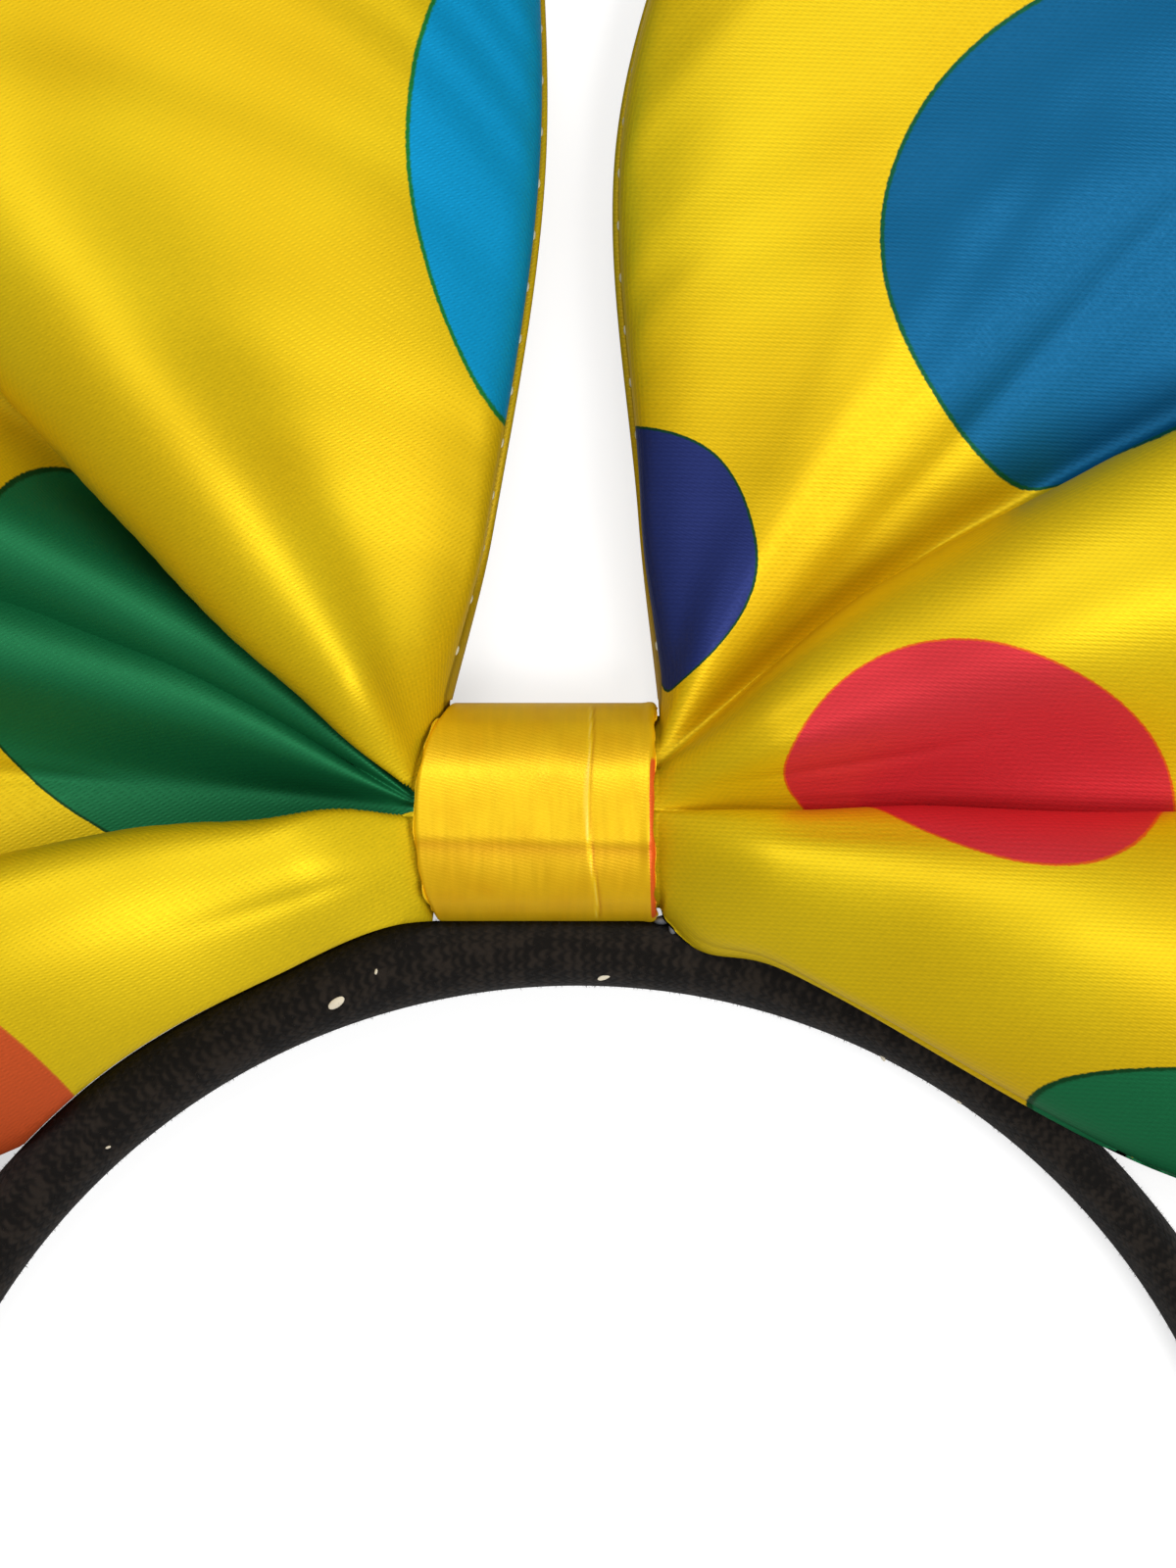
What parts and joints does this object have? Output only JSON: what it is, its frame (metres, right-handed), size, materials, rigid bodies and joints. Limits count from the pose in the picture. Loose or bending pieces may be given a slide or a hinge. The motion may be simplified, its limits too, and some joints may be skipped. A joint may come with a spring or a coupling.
{
  "type": "clown headband with a padded satin bow",
  "caption": "Black cloth-covered hair hoop carrying a big padded yellow satin bow with bright polka dots, gathered by a plain satin knot.",
  "frame": {"origin": "on the surface the part lies on, under the middle of the hoop's crown", "axes": "+X towards the wearer's left, which is the right of the front view; +Y from the hoop's crown up to the bow's top; +Z out of the bow's front, upwards as it lies on its back"},
  "size_m": [0.2928, 0.2629, 0.0287],
  "materials": {
    "black_cloth": "matt black brushed knit, ribbed round the hoop",
    "dotted_satin": "yellow satin weave with large blue, green, red, navy and orange dots",
    "plain_satin": "plain golden yellow satin weave"
  },
  "bodies": {
    "root": {"headband": "black_cloth", "bow_wing_left": "dotted_satin", "bow_wing_right": "dotted_satin", "knot_wrap": "plain_satin"}
  },
  "joints": []
}
